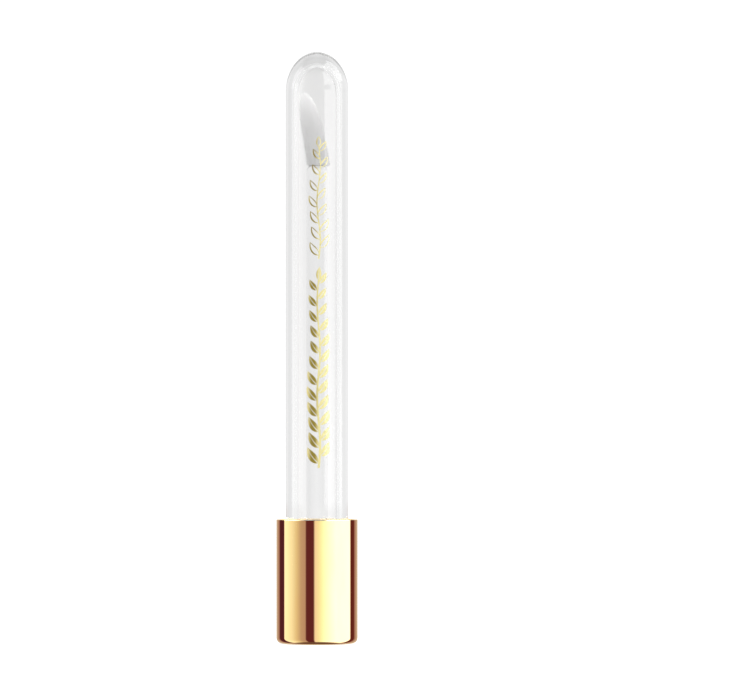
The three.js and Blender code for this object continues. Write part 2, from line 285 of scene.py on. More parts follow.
def foil_material():
    """Hot-stamped foil: paler and yellower than the cap, slightly crinkled, and struck so that it faces a
    little upwards."""
    upward_tilt = 0.09
    mat, tree, shader = material("gold_foil_print", (0.88, 0.78, 0.42))
    link = tree.links.new
    shader.inputs["Metallic"].default_value = 1
    crinkle, tint = noise_between(tree, 2600, (0.86, 0.77, 0.37), (0.93, 0.85, 0.44))
    link(tint.outputs["Color"], shader.inputs["Base Color"])
    _, rough = noise_between(tree, 1800, (0.07,) * 3, (0.13,) * 3)
    link(rough.outputs["Color"], shader.inputs["Roughness"])
    uneven = bump(tree, shader, crinkle.outputs["Fac"], 0.03, 0.00002)
    tilted = node(tree, "ShaderNodeVectorMath", operation="ADD")
    tilted.inputs[1].default_value = (0, 0, upward_tilt)
    unit = node(tree, "ShaderNodeVectorMath", operation="NORMALIZE")
    link(uneven.outputs["Normal"], tilted.inputs[0])
    link(tilted.outputs["Vector"], unit.inputs[0])
    link(unit.outputs["Vector"], shader.inputs["Normal"])
    return mat


def brighter_dome(tree, shader, glow, dome_glow):
    """Lets the glow grow over the last stretch of the tube's round end."""
    start, end = TUBE_TOP - 1.5, TUBE_TOP - 0.4
    place = node(tree, "ShaderNodeTexCoord")
    split = node(tree, "ShaderNodeSeparateXYZ")
    rise = node(tree, "ShaderNodeMapRange")
    rise.inputs["From Min"].default_value = start * MM
    rise.inputs["From Max"].default_value = end * MM
    rise.inputs["To Min"].default_value = glow
    rise.inputs["To Max"].default_value = dome_glow
    tree.links.new(place.outputs["Object"], split.inputs["Vector"])
    tree.links.new(split.outputs["Z"], rise.inputs["Value"])
    tree.links.new(rise.outputs["Result"], shader.inputs["Emission Strength"])


def clear_material(name, tint, ior, roughest, ripple=0.0, glow=0.0, dome_glow=0.0):
    """Clear moulded plastic: smooth, with a slow flow ripple that only the reflections show. The glow stands
    in for light scattered in the plastic, and is stronger in the thick dome."""
    mat, tree, shader = material(name, tint)
    shader.inputs["Transmission Weight"].default_value = 1
    shader.inputs["IOR"].default_value = ior
    shader.inputs["Emission Color"].default_value = (1, 1, 1, 1)
    shader.inputs["Emission Strength"].default_value = glow
    if dome_glow:
        brighter_dome(tree, shader, glow, dome_glow)
    _, cast = noise_between(tree, 90, tuple(c * 0.985 for c in tint), tint, (1, 1, 0.25))
    tree.links.new(cast.outputs["Color"], shader.inputs["Base Color"])
    flow, rough = noise_between(tree, 110, (0.0,) * 3, (roughest,) * 3, (1, 1, 0.2))
    tree.links.new(rough.outputs["Color"], shader.inputs["Roughness"])
    if ripple:
        bump(tree, shader, flow.outputs["Fac"], ripple, 0.00005)
    return mat


def moulded_material(name, low, high, roughness, see_through=0.0, glow=0.0):
    """Satin moulded plastic with a fine spark-eroded grain."""
    mat, tree, shader = material(name, high)
    _, tint = noise_between(tree, 500, low, high)
    tree.links.new(tint.outputs["Color"], shader.inputs["Base Color"])
    grain, rough = noise_between(tree, 4200, (roughness - 0.06,) * 3, (roughness + 0.06,) * 3)
    tree.links.new(rough.outputs["Color"], shader.inputs["Roughness"])
    shader.inputs["Subsurface Weight"].default_value = see_through
    shader.inputs["Subsurface Radius"].default_value = (0.001, 0.001, 0.001)
    shader.inputs["Emission Color"].default_value = (1, 1, 1, 1)
    shader.inputs["Emission Strength"].default_value = glow
    bump(tree, shader, grain.outputs["Fac"], 0.15, 0.00003)
    return mat


def flock_material():
    """Short nylon flock: soft white fibres, with painted shade that makes them greyer towards the root and on
    the -X side and lighter towards the end.
    """
    mat, tree, shader = material("white_flock", (0.88, 0.88, 0.87))
    link = tree.links.new
    place = node(tree, "ShaderNodeTexCoord")
    split = node(tree, "ShaderNodeSeparateXYZ")
    link(place.outputs["Object"], split.inputs["Vector"])

    def along(axis, low, high, stops):
        """A painted shade that changes along one axis, between two places in millimetres."""
        spread = node(tree, "ShaderNodeMapRange")
        spread.inputs["From Min"].default_value = low * MM
        spread.inputs["From Max"].default_value = high * MM
        painted_shade_ramp = ramp(tree, [(position, (value,) * 3) for position, value in stops])
        link(split.outputs[axis], spread.inputs["Value"])
        link(spread.outputs["Result"], painted_shade_ramp.inputs["Fac"])
        return painted_shade_ramp.outputs["Color"]

    def times(first, second):
        made = node(tree, "ShaderNodeMix", data_type="RGBA", blend_type="MULTIPLY")
        made.inputs["Factor"].default_value = 1
        link(first, made.inputs[6])
        link(second, made.inputs[7])
        return made.outputs[2]

    # Painted shade: darker towards the root and on the -X side, lighter towards the end; the speckle is
    # random tone.
    rise = along("Z", TIP_BASE, TIP_TOP,
                 [(0, 0.57), (0.5, 0.65), (0.72, 0.76), (0.85, 0.88), (1, 0.95)])
    side = along("X", -1.8, 1.6, [(0, 0.89), (1, 1)])
    fuzz, speckle = noise_between(tree, 5200, (0.94,) * 3, (1.0,) * 3, detail=5)
    link(times(times(rise, side), speckle.outputs["Color"]), shader.inputs["Base Color"])
    shader.inputs["Roughness"].default_value = 0.95
    shader.inputs["Sheen Weight"].default_value = 0.35
    shader.inputs["Sheen Roughness"].default_value = 0.5
    bump(tree, shader, fuzz.outputs["Fac"], 0.5, 0.0001)
    return mat


GOLD = gold_shell_material()
FOIL = foil_material()
BOTTLE_CLEAR = clear_material("bottle_clear", (0.99, 0.99, 0.99), ior=1.28, roughest=0.004, ripple=0.001,
                              glow=0.035, dome_glow=0.18)
ROD_CLEAR = clear_material("rod_clear", (0.95, 0.952, 0.955), ior=1.57, roughest=0.005, ripple=0.003)
GLOSS_CLEAR = clear_material("gloss_clear", (0.985, 0.982, 0.978), ior=1.03, roughest=0.02)
INSERT_WHITE = moulded_material("insert_white", (0.80, 0.79, 0.76), (0.86, 0.85, 0.82), roughness=0.42)
WIPER_SOFT = moulded_material("wiper_soft", (0.72, 0.72, 0.71), (0.80, 0.80, 0.79), roughness=0.5,
                              see_through=0.2)
GASKET_SOFT = moulded_material("gasket_soft", (0.82, 0.82, 0.80), (0.9, 0.9, 0.88), roughness=0.75)
# The core's glow is painted light, a stand-in for light scattered through the clear rod.
CORE_SOFT = moulded_material("core_soft", (0.90, 0.90, 0.89), (0.94, 0.94, 0.93), roughness=0.55,
                             see_through=0.3, glow=0.2)
FLOCK = flock_material()


def finish_piece(obj, mat, body, slot, *nodes):
    """Gives a piece its material and body, and names the CAD nodes that it replaces; the slot is not used."""
    obj.data.materials.clear()
    obj.data.materials.append(mat)
    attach(obj, body)
    if nodes:
        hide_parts(*nodes)


# ---------------------------------------------------------------- cap side

def make_gold_cap():
    """The gold shell, closed below, on a narrow standing ring."""
    wall = 0.5
    floor = 0.8
    outline = rounded([
        (0, FOOT_RECESS),
        (CAP_RADIUS - 2.9, FOOT_RECESS, 0.25),
        (CAP_RADIUS - 2.6, 0, 0.25),
        (CAP_RADIUS - 1.9, 0, 0.3),
        (CAP_RADIUS - 0.45, FOOT_RECESS, 0.5),
        (CAP_RADIUS, 0.95, 0.4),
        (CAP_RADIUS, CAP_TOP, 0.05),
        (CAP_RADIUS - wall, CAP_TOP - 0.12, 0.05),
        (CAP_RADIUS - wall, floor, 0.4),
        (0, floor),
    ], steps=8)
    cap = revolve("gold_cap", outline, facets=192)
    finish_piece(cap, GOLD, "applicator", "gold_shell", "cap_shell")


def make_insert():
    """The white plastic cap inside the gold one, with its thread, grip ribs and the rod's socket."""
    bore = 6.35
    crest = 5.62
    mouth = TUBE_RADIUS + 0.25
    wall = 7.4
    socket = 2.45
    floor = INSERT_FOOT + 1.2
    socket_outer = 3.4
    socket_top = 5.0
    rib_count = 12
    rib_half_angle = 3.75
    rib_flank_angle = 1.8
    rib_top = INSERT_RADIUS - 0.04
    rib_foot = INSERT_FOOT + 1.7
    rib_head = INSERT_TOP - 1.2

    def relief(angle, radius, z):
        if abs(radius - bore) < SAME:
            rise = ridge_height(angle, z, THREAD_BASE + PITCH / 2, -0.5, THREAD_TURNS - 0.5)
            return bore - rise * (bore - crest)
        if abs(radius - wall) < SAME and rib_foot < z < rib_head:
            away = abs(math.degrees(angle) % (360 / rib_count) - 180 / rib_count)
            return wall + (rib_top - wall) * max(0.0, min(1.0, (rib_half_angle - away) / rib_flank_angle))
        return radius

    outline = rounded([
        (0, INSERT_FOOT),
        (wall, INSERT_FOOT, 0.4),
        (wall, rib_foot),
        (wall, rib_foot + 0.3),
        (wall, rib_head - 0.1),
        (wall, rib_head),
        (wall, INSERT_TOP - 0.9, 0.2),
        (INSERT_RADIUS, INSERT_TOP - 0.9, 0.1),
        (INSERT_RADIUS, INSERT_TOP, 0.25),
        (mouth, INSERT_TOP, 0.3),
        (mouth, SHOULDER - 0.3, 0.2),
        (bore, SHOULDER - 0.6, 0.2),
        (bore, THREAD_WALL_HEAD + THREAD_WALL_EDGE),
    ])
    outline += levels(bore, THREAD_WALL_HEAD, THREAD_WALL_FOOT, THREAD_STEP)
    outline += rounded([
        (bore, THREAD_WALL_FOOT - THREAD_WALL_EDGE),
        (bore, floor, 0.3),
        (socket_outer, floor, 0.3),
        (socket_outer, socket_top, 0.2),
        (socket, socket_top, 0.1),
        (socket, floor, 0.1),
        (0, floor),
    ])
    insert = revolve("threaded_insert", outline, facets=192, relief=relief)
    finish_piece(insert, INSERT_WHITE, "applicator", "white_plastic", "inner_cap")


def make_rod():
    """The clear rod, with a snap bead and a collar at its root."""
    stub = 2.35
    bead_z = 3.5
    bead = 0.25
    collar_foot = 5.1
    collar_top = 5.9
    outline = rounded([
        (0, ROD_FOOT),
        (stub, ROD_FOOT, 0.2),
        (stub, bead_z - bead),
        (stub + bead, bead_z, 0.1),
        (stub, bead_z + bead),
        (stub, collar_foot),
        (COLLAR_RADIUS, collar_foot, 0.15),
        (COLLAR_RADIUS, collar_top, 0.2),
        (ROD_RADIUS, collar_top, 0.3),
        (ROD_RADIUS, ROD_TOP - 0.8, 0.8),
        (ROD_RADIUS - 0.55, ROD_TOP, 0.5),
        (0, ROD_TOP),
    ], steps=10)
    rod = revolve("wand_rod", outline, facets=96)
    finish_piece(rod, ROD_CLEAR, "applicator", "clear_plastic", "rod")


def tip_section(height, angle, inset):
    """A point on the doe foot: it leans to -X as it rises, and its +X face is nearly flat."""
    length = TIP_TOP - TIP_BASE
    share = min(1.0, max(0.0, height / length))
    centre = TIP_ROOT_X - TIP_LEAN * height - TIP_BEND * height * height
    half_width = TIP_HALF_WIDTH * math.sqrt(max(0.0, 1 - share ** 4)) - inset
    half_depth = TIP_HALF_WIDTH * math.sqrt(max(0.0, 1 - share ** 6)) - inset
    c, s = math.cos(angle), math.sin(angle)
    flat = TIP_FACE_FLATNESS if c > 0 else 1.0
    power = 1 - TIP_FACE_SQUARENESS * share * (c > 0)
    x = centre + half_width * math.copysign(abs(c) ** power, c) * (flat + (1 - flat) * (1 - share))
    y = half_depth * s
    return Vector((x * MM, y * MM, (TIP_BASE + height) * MM))


def tip_skin(built, inset, facets, rows):
    """The doe foot's closed outside, or a smaller one `inset` within it."""
    length = TIP_TOP - TIP_BASE - inset
    rings = []
    for i in range(rows + 1):
        height = length * math.sin(math.pi / 2 * i / (rows + 1))
        rings.append([built.verts.new(tip_section(height, 2 * math.pi * k / facets, inset))
                      for k in range(facets)])
    for lower, upper in zip(rings, rings[1:]):
        for k in range(facets):
            n = (k + 1) % facets
            built.faces.new((lower[k], lower[n], upper[n], upper[k]))
    right, left = tip_section(length, 0, inset), tip_section(length, math.pi, inset)
    crown = built.verts.new(right * 0.5 + left * 0.5)
    root = built.verts.new(Vector((TIP_ROOT_X * MM, 0, TIP_BASE * MM)))
    for k in range(facets):
        n = (k + 1) % facets
        built.faces.new((rings[-1][k], rings[-1][n], crown))
        built.faces.new((rings[0][n], rings[0][k], root))
    bmesh.ops.recalc_face_normals(built, faces=built.faces)
    built.normal_update()


def make_tip():
    """The doe foot's flocked skin."""
    mesh = bpy.data.meshes.new("doe_foot_flock")
    built = bmesh.new()
    tip_skin(built, inset=0.0, facets=48, rows=44)
    add_fibres(built, count=5200)
    built.to_mesh(mesh)
    built.free()
    shade(mesh, 60)
    tip = new_object("doe_foot_flock", mesh)
    finish_piece(tip, FLOCK, "applicator", "flock", "tip_flock")


def make_core():
    """The soft core inside the flock."""
    mesh = bpy.data.meshes.new("doe_foot_core")
    built = bmesh.new()
    tip_skin(built, inset=0.45, facets=32, rows=20)
    built.to_mesh(mesh)
    built.free()
    shade(mesh)
    core = new_object("doe_foot_core", mesh)
    finish_piece(core, CORE_SOFT, "applicator", "soft_plastic", "tip_core")


def add_fibres(built, count):
    """Flock: short tapered needles standing on the faces, leaning a little towards the end of the tip."""
    half_width = 0.022 * MM
    sunk = 0.02 * MM
    faces = list(built.faces)
    areas = [f.calc_area() for f in faces]
    picked = random.choices(faces, weights=areas, k=count)
    for face in picked:
        corners = [v.co for v in face.verts]
        weights = [random.random() for _ in corners]
        total = sum(weights)
        spot = sum((c * (w / total) for c, w in zip(corners, weights)), Vector())
        lean = Vector((random.uniform(-1, 1), random.uniform(-1, 1), random.uniform(-0.6, 1.2))) * 0.35
        direction = (face.normal + lean).normalized()
        length = random.uniform(0.10, 0.24) * MM
        side = direction.orthogonal().normalized() * half_width
        other = direction.cross(side)
        base = [spot + side, spot - side * 0.5 + other * 0.87, spot - side * 0.5 - other * 0.87]
        top = built.verts.new(spot + direction * length)
        foot = [built.verts.new(p - direction * sunk) for p in base]
        for a, b in ((0, 1), (1, 2), (2, 0)):
            built.faces.new((foot[a], foot[b], top))
        built.faces.new((foot[2], foot[1], foot[0]))


# ---------------------------------------------------------------- seal, contents and tube

def make_gasket():
    """The foam ring between the rod's collar and the tube's neck."""
    inner = ROD_RADIUS + 0.15
    outline = rounded([
        (inner + 1.4, LINER_FOOT),
        (LINER_RADIUS, LINER_FOOT, 0.15),
        (LINER_RADIUS, LINER_TOP, 0.15),
        (inner, LINER_TOP, 0.15),
        (inner, LINER_FOOT, 0.15),
        (inner + 1.4, LINER_FOOT),
    ])
    ring = revolve("gasket_ring", outline, facets=96)
    finish_piece(ring, GASKET_SOFT, "seal", "gasket_foam", "cap_liner")


def make_gloss():
    """The gloss: a column that fills the tube, drawn solid."""
    outline = rounded([(0, GLOSS_FOOT - 0.35), (GLOSS_RADIUS - 0.6, GLOSS_FOOT - 0.1, 0.6),
                       (GLOSS_RADIUS, GLOSS_FOOT + 0.5, 0.4), (GLOSS_RADIUS, GLOSS_FOOT + 2)])
    outline += ellipse_arc(GLOSS_RADIUS, CAVITY_DOME - 0.05, CAVITY_TOP - CAVITY_DOME, 0, 90, 28)
    gloss = revolve("gloss_column", outline, facets=96)
    finish_piece(gloss, GLOSS_CLEAR, "contents", "clear_gloss", "gloss_fill")


def make_bottle():
    """The tube with its neck, thread, bead, shoulder and round end."""
    crest = 6.1

    def relief(angle, radius, z):
        if abs(radius - NECK_RADIUS) < SAME:
            rise = ridge_height(angle, z, THREAD_BASE, 0, THREAD_TURNS)
            return NECK_RADIUS + rise * (crest - NECK_RADIUS)
        return radius

    bead = NECK_RADIUS + 0.5
    outline = rounded([
        (NECK_BORE + 0.5, NECK_RIM),
        (NECK_RADIUS, NECK_RIM, 0.25),
        (NECK_RADIUS, THREAD_WALL_FOOT - THREAD_WALL_EDGE),
    ])
    outline += levels(NECK_RADIUS, THREAD_WALL_FOOT, THREAD_WALL_HEAD, THREAD_STEP)
    outline += rounded([
        (NECK_RADIUS, THREAD_WALL_HEAD + THREAD_WALL_EDGE),
        (NECK_RADIUS, SHOULDER - 2.2, 0.2),
        (bead, SHOULDER - 2.0, 0.25),
        (bead, SHOULDER - 1.2, 0.25),
        (NECK_RADIUS, SHOULDER - 1.0, 0.2),
        (NECK_RADIUS, SHOULDER, 0.2),
        (TUBE_RADIUS, SHOULDER, 0.5),
        (TUBE_RADIUS, SHOULDER + 4),
    ])
    outline += ellipse_arc(TUBE_RADIUS, DOME_HEIGHT, TUBE_TOP - DOME_HEIGHT, 0, 90, 40)
    inside = ellipse_arc(CAVITY_RADIUS, CAVITY_DOME, CAVITY_TOP - CAVITY_DOME, 90, 0, 32)
    inside += rounded([
        (CAVITY_RADIUS, SHOULDER + 4),
        (CAVITY_RADIUS, 20.1, 0.3),
        (NECK_BORE, 19.9, 0.2),
        (NECK_BORE, NECK_RIM, 0.25),
        (NECK_BORE + 0.5, NECK_RIM),
    ])
    bottle = hollow("clear_tube", outline, inside, relief)
    finish_piece(bottle, BOTTLE_CLEAR, "bottle", "clear_plastic", "bottle")


def hollow(name, outside, inside, relief):
    """A vessel closed at the top: its outer and inner skins meet at the rim."""
    outer = revolve(name, outside, facets=160, relief=relief)
    inner = revolve(name + "_cavity", inside, facets=160)
    built = bmesh.new()
    built.from_mesh(outer.data)
    built.from_mesh(inner.data)
    bmesh.ops.remove_doubles(built, verts=built.verts, dist=1e-7)
    bmesh.ops.recalc_face_normals(built, faces=built.faces)
    built.to_mesh(outer.data)
    built.free()
    bpy.data.objects.remove(inner)
    shade(outer.data)
    return outer


def make_wiper():
    """The soft insert in the neck, narrowing to lips that wipe the rod."""
    tube_outer = 4.15
    tube_inner = 3.6
    lip = 2.28
    outline = rounded([
        (tube_inner + 0.6, WIPER_FOOT),
        (WIPER_RADIUS, WIPER_FOOT, 0.15),
        (WIPER_RADIUS, WIPER_FOOT + 0.8, 0.15),
        (tube_outer, WIPER_FOOT + 0.8, 0.1),
        (tube_outer, 17.0, 0.5),
        (lip + 0.5, WIPER_TOP - 0.4, 0.2),
        (lip, WIPER_TOP, 0.15),
        (lip, WIPER_TOP - 0.9, 0.3),
        (tube_inner, 16.6, 0.5),
        (tube_inner, WIPER_FOOT, 0.2),
        (tube_inner + 0.6, WIPER_FOOT),
    ])
    wiper = revolve("wiper_insert", outline, facets=96)
    finish_piece(wiper, WIPER_SOFT, "bottle", "soft_plastic", "wiper")


# ---------------------------------------------------------------- foil ornament

# How far right of the front the print's middle lies, and the foil's place over the tube's skin
FOIL_CENTRE = 0.4
FOIL_LIFT = 0.004
FOIL_THICKNESS = 0.018

# Points along a leaf, and how far it curls back towards its stem, in degrees
LEAF_STEPS = 14
OPEN_LEAF_STEPS = 16
LEAF_CURL = 34


def on_tube(across, z, lift):
    """A point of the ornament: `across` is measured round the tube from the middle of the print, in mm."""
    radius = TUBE_RADIUS + lift
    angle = -math.pi / 2 + (across + FOIL_CENTRE) / TUBE_RADIUS
    return Vector((radius * math.cos(angle) * MM, radius * math.sin(angle) * MM, z * MM))


def add_patch(built, left, right, cells):
    """A slab of foil between two lines of (across, z) points, wrapped on the tube."""
    skins = []
    for lift in (FOIL_LIFT, FOIL_LIFT + FOIL_THICKNESS):
        rows = []
        for a, b in zip(left, right):
            row = []
            for k in range(cells + 1):
                t = k / cells
                across, z = a[0] + (b[0] - a[0]) * t, a[1] + (b[1] - a[1]) * t
                row.append(built.verts.new(on_tube(across, z, lift)))
            rows.append(row)
        skins.append(rows)
    under, over = skins
    for i in range(len(left) - 1):
        for k in range(cells):
            built.faces.new((over[i][k], over[i][k + 1], over[i + 1][k + 1], over[i + 1][k]))
            built.faces.new((under[i][k], under[i + 1][k], under[i + 1][k + 1], under[i][k + 1]))
        for k in (0, cells):
            built.faces.new((under[i][k], under[i + 1][k], over[i + 1][k], over[i][k]))
    for i in (0, len(left) - 1):
        for k in range(cells):
            built.faces.new((under[i][k], under[i][k + 1], over[i][k + 1], over[i][k]))


def add_ribbon(built, path, widths, cells=3):
    """A line of foil that follows a path and swells and thins along it."""
    left, right = [], []
    for i, here in enumerate(path):
        before = path[max(0, i - 1)]
        after = path[min(len(path) - 1, i + 1)]
        direction = (Vector(after) - Vector(before)).normalized()
        side = Vector((-direction[1], direction[0])) * widths[i] / 2
        left.append(Vector(here) + side)
        right.append(Vector(here) - side)
    add_patch(built, left, right, cells)


def leaf_edges(root, heading, length, width, curl, steps):
    """A pointed leaf: its midrib as (point, side, half width) and its two edges. Heading is in degrees from
    +Z, + to the right."""
    spine, left, right = [], [], []
    spot = Vector(root)
    angle = math.radians(heading)
    for i in range(steps + 1):
        t = i / steps
        direction = Vector((math.sin(angle), math.cos(angle)))
        side = Vector((direction[1], -direction[0]))
        belly = width / 2 * math.sin(math.pi * t ** 0.8) ** 0.9 if 0 < t < 1 else 0.0
        spine.append((spot.copy(), side, belly))
        left.append(spot - side * belly)
        right.append(spot + side * belly)
        spot = spot + direction * (length / steps)
        angle += math.radians(curl) / steps
    return spine, left, right


def add_leaf(built, root, heading, length, width, curl, vein):
    """A solid leaf in two halves, either side of a bare midrib."""
    spine, left, right = leaf_edges(root, heading, length, width, curl, LEAF_STEPS)
    gaps = [min(belly * 0.6, vein / 2 * (1 - i / LEAF_STEPS) + 0.01)
            for i, (_, _, belly) in enumerate(spine)]
    inner_left = [spot - side * gap for (spot, side, _), gap in zip(spine, gaps)]
    inner_right = [spot + side * gap for (spot, side, _), gap in zip(spine, gaps)]
    add_patch(built, left, inner_left, 4)
    add_patch(built, inner_right, right, 4)


def add_open_leaf(built, root, heading, length, width, curl, thick, thin):
    """A leaf drawn as two lines of foil: its left edge is the heavier."""
    steps = OPEN_LEAF_STEPS
    _, left, right = leaf_edges(root, heading, length, width, curl, steps)
    swell = [0.5 + 0.5 * math.sin(math.pi * i / steps) for i in range(steps + 1)]
    add_ribbon(built, left, [thick * k for k in swell], 2)
    add_ribbon(built, right, [thin * k for k in swell], 2)


def make_ornament():
    """Two leafy sprigs of foil up the front of the tube, in the place of printed words: a bold one below and
    a fine one above it."""
    mesh = bpy.data.meshes.new("foil_sprig")
    built = bmesh.new()

    def sway(z, low, high, size, waves):
        """How far a stem stands off its middle line at one height."""
        return size * math.sin(2 * math.pi * waves * (z - low) / (high - low))

    def stem_path(low, high, size, waves, count):
        heights = [low + (high - low) * i / count for i in range(count + 1)]
        return [(sway(z, low, high, size, waves), z) for z in heights]

    # the bold sprig
    low, high, size, waves = 36.8, 76.0, 0.3, 2
    add_ribbon(built, stem_path(low, high, size, waves, 80), [0.5 - 0.2 * i / 80 for i in range(81)])
    pairs = 12
    for i in range(pairs):
        share = (i + 0.3) / pairs
        full = 1 - 0.35 * share
        for side in (-1, 1):
            z = low + (high - low) * share + (1.5 if side > 0 else 0)
            root = (sway(z, low, high, size, waves) + side * 0.15, z)
            add_leaf(built, root, side * 50, 4.1 * full, 1.75 * full, -side * LEAF_CURL, 0.14)
    add_leaf(built, (sway(high, low, high, size, waves), high - 0.2), 0, 2.8, 1.1, 8, 0.1)

    # the fine sprig above it
    low, high, size, waves = 80.2, 103.6, 0.35, 1.5
    add_ribbon(built, stem_path(low, high, size, waves, 60), [0.3 - 0.12 * i / 60 for i in range(61)], 2)
    pairs = 7
    for i in range(pairs):
        share = (i + 0.25) / pairs
        full = 1 - 0.3 * share
        for side in (-1, 1):
            z = low + (high - low) * share + (1.6 if side > 0 else 0)
            root = (sway(z, low, high, size, waves), z)
            add_open_leaf(built, root, side * 52, 3.3 * full, 1.15 * full, -side * LEAF_CURL,
                          thick=0.3, thin=0.2)
    add_open_leaf(built, (sway(high, low, high, size, waves), high), 0, 2, 0.8, 0, thick=0.26, thin=0.2)

    bmesh.ops.remove_doubles(built, verts=built.verts, dist=1e-8)
    bmesh.ops.recalc_face_normals(built, faces=built.faces)
    built.to_mesh(mesh)
    built.free()
    shade(mesh, 60)
    sprig = new_object("foil_sprig", mesh)
    finish_piece(sprig, FOIL, "bottle", "gold_foil")


make_gold_cap()
make_insert()
make_rod()
make_tip()
make_core()
make_gasket()
make_gloss()
make_bottle()
make_wiper()
make_ornament()


# ---------------------------------------------------------------- stage, light and camera

def world_light():
    """A studio drawn on the sky, with one set for each way that a ray can reach it.
    Mirror rays see tall soft boxes with dark flags between them. From below upwards they are the warm set
    round the cap, the neutral set round the tube, the struck set that only the tilted foil finds, the dome
    set and the crown set for the round end, and a plain grey overhead. Rays that pass through clear parts
    see a pale backdrop, darker in three places: low down behind the object, high up, and at the sides for a
    single piece of plastic, which draws the edge of the rod. Matt parts are lit evenly."""
    world = bpy.data.worlds.new("studio")
    bpy.context.scene.world = world
    world.use_nodes = True
    tree = world.node_tree
    tree.nodes.clear()
    link = tree.links.new
    background_strength = 10.0
    black = (0.0, 0.0, 0.0)

    def math_node(operation, *values):
        """An arithmetic node on numbers or sockets."""
        made = node(tree, "ShaderNodeMath", operation=operation)
        for socket, value in zip(made.inputs, values):
            if isinstance(value, (int, float)):
                socket.default_value = value
            else:
                link(value, socket)
        return made.outputs[0]

    def level(*color):
        """A radiance, in grey or in red, green and blue, as a share of the background strength."""
        return tuple(c / background_strength for c in (color if len(color) == 3 else color * 3))

    def mix(factor, first, second):
        made = node(tree, "ShaderNodeMix", data_type="RGBA")
        link(factor, made.inputs["Factor"])
        for value, socket in ((first, made.inputs[6]), (second, made.inputs[7])):
            if isinstance(value, tuple):
                socket.default_value = (*value, 1)
            else:
                link(value, socket)
        return made.outputs[2]

    def climb(low, high):
        """Rises smoothly from 0 to 1 between two elevations, in degrees."""
        made = node(tree, "ShaderNodeMapRange", interpolation_type="SMOOTHSTEP")
        made.inputs["From Min"].default_value = math.sin(math.radians(low))
        made.inputs["From Max"].default_value = math.sin(math.radians(high))
        link(split.outputs["Z"], made.inputs["Value"])
        return made.outputs["Result"]

    place = node(tree, "ShaderNodeTexCoord")
    split = node(tree, "ShaderNodeSeparateXYZ")
    link(place.outputs["Generated"], split.inputs["Vector"])
    back = math_node("MULTIPLY", split.outputs["Y"], -1.0)
    azimuth = math_node("ARCTAN2", split.outputs["X"], back)
    turn = math_node("MULTIPLY_ADD", azimuth, 1 / (2 * math.pi), 0.5)

    def around(*stops):
        """A sky that changes round the axis, by degrees from the camera, + to the right."""
        made = ramp(tree, [(degrees / 360 + 0.5, color) for degrees, color in stops])
        link(turn, made.inputs["Fac"])
        return made.outputs["Color"]

    flag = level(0.12, 0.024, 0.034)
    left_flag = level(0.08, 0.018, 0.032)
    right_flag = level(0.125, 0.022, 0.022)
    behind = level(0.66, 0.56, 0.49)
    beside = level(0.62, 0.52, 0.46)
    corner = level(0.38, 0.19, 0.185)
    warm_set = around(
        (-180, behind), (-157, beside), (-135, corner), (-129, left_flag), (-106.5, left_flag),
        (-104.5, level(1.28, 1.20, 1.12)), (-90, level(1.20, 1.12, 0.94)), (-72, level(0.94, 0.88, 0.72)),
        (-59, level(0.77, 0.645, 0.464)), (-46, level(0.55, 0.40, 0.34)), (-33, level(0.50, 0.33, 0.31)),
        (-30, flag), (-9, flag),
        (-5, level(0.95, 0.80, 0.72)), (6, level(0.98, 0.98, 0.74)), (14, level(1.08, 1.18, 0.90)),
        (23, level(1.35, 1.35, 1.18)), (37, level(1.6, 1.6, 1.52)), (55, level(1.9)), (107.5, level(1.9)),
        (110.5, right_flag), (129, right_flag), (135, corner), (157, beside), (180, behind))
    # a pale room with a dark flag on each side, shared by the sets above the cap
    left_room = ((-180, level(0.95)), (-132, level(0.95)), (-129, level(0.4)))
    left_room_to_box = (*left_room, (-108, level(0.4)))
    left_box = ((-105, level(3)), (-80, level(3.8)), (-66, level(4.8)), (-57, level(4)), (-50, level(1.6)))
    right_room = ((129, level(0.4)), (132, level(0.95)), (180, level(0.95)))
    neutral_set = around(
        *left_room_to_box, *left_box,
        (-33, level(0.1)), (25, level(0.1)), (32, level(8.2)), (50, level(7)), (80, level(5.2)),
        (104, level(4.2)), (108, level(0.4)), *right_room)
    struck_set = around(
        *left_room_to_box,
        (-105, level(4.5)), (-80, level(5.5)), (-66, level(5.4)), (-57, level(3.5)), (-46, level(1.1)),
        (-30, level(0.80, 0.76, 0.68)), (-24, level(0.42, 0.38, 0.24)), (-20, level(0.33, 0.28, 0.11)),
        (-6, level(0.36, 0.31, 0.13)), (-1, level(0.66, 0.6, 0.46)), (5, level(0.96)), (14, level(1.03)),
        (36, level(1.03, 1.06, 1.1)), (48, level(1.2, 1.3, 1.6)), (56, level(6)), (80, level(5.2)),
        (104, level(4.2)), (108, level(0.4)), *right_room)
    dome_set = around(
        *left_room_to_box, *left_box,
        (-33, level(0.1)), (25, level(0.1)), (32, level(8.2)), (50, level(8)), (80, level(7)),
        (118, level(5)), (121, level(0.4)), (132, level(0.4)), (135, level(0.95)), (180, level(0.95)))
    crown_set = around(
        *left_room, (-33, level(0.1)), (40, level(0.1)),
        (48, level(9)), (80, level(8)), (116, level(6)), (119, level(0.4)), *right_room)
    overhead = level(0.5)
    underside = level(0.15, 0.075, 0.06)
    low_backdrop = around(
        (-180, level(0.85)), (-169, level(0.82)), (-160, level(0.80)), (-90, level(0.78)), (0, level(0.80)),
        (148, level(0.75)), (160, level(0.80)), (169, level(0.82)), (180, level(0.85)))
    high_backdrop = around(
        (-180, level(0.77)), (-168, level(0.75)), (-158, level(0.75)), (-90, level(0.80)),
        (0, level(0.82)), (148, level(0.73)), (158, level(0.76)), (168, level(0.75)), (180, level(0.77)))
    top_backdrop = around(
        (-180, level(0.69)), (-168, level(0.72)), (-158, level(0.80)), (-90, level(0.80)),
        (0, level(0.82)), (148, level(0.74)), (158, level(0.83)), (168, level(0.73)), (180, level(0.69)))

